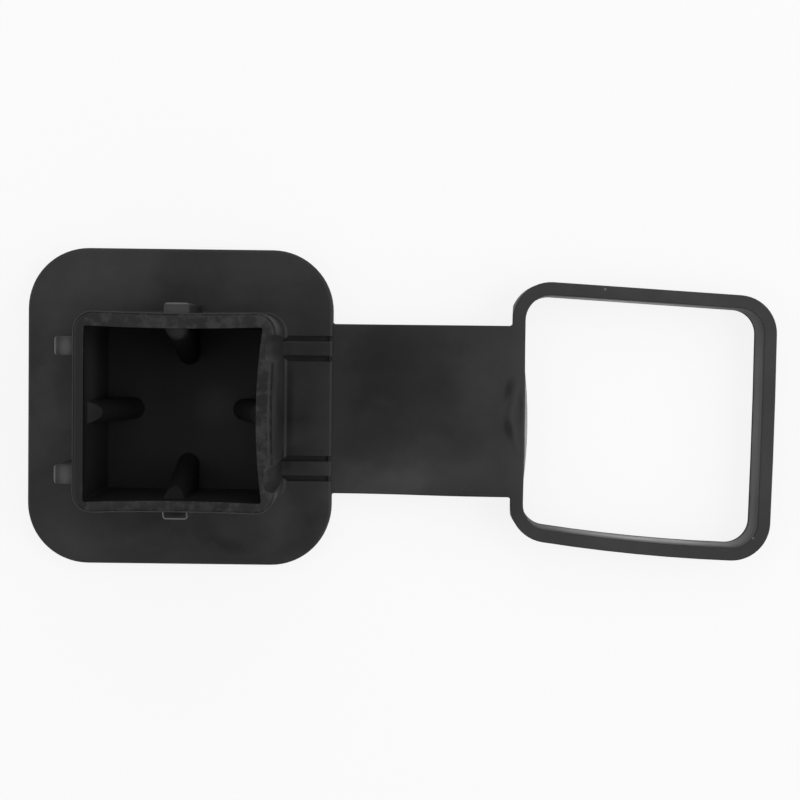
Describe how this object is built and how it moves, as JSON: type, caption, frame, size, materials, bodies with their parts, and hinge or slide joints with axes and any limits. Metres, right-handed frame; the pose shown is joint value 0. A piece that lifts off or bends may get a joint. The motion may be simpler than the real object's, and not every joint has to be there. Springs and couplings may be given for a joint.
{
  "type": "hitch receiver cover",
  "caption": "One-piece rubber cover for a square hitch receiver: a rounded plate with a hollow ribbed plug, and a strap to a square ring that stretches round the tube.",
  "frame": {"origin": "on the receiver's axis, in the plane of the cover plate's show face", "axes": "+X from the plug along the strap to the ring, +Y across the strap, +Z out of the plug's mouth, into the receiver"},
  "size_m": [0.1891, 0.0802, 0.039],
  "materials": {
    "rubber": "satin"
  },
  "bodies": {
    "root": {"receiver_cover": "rubber"}
  },
  "joints": []
}
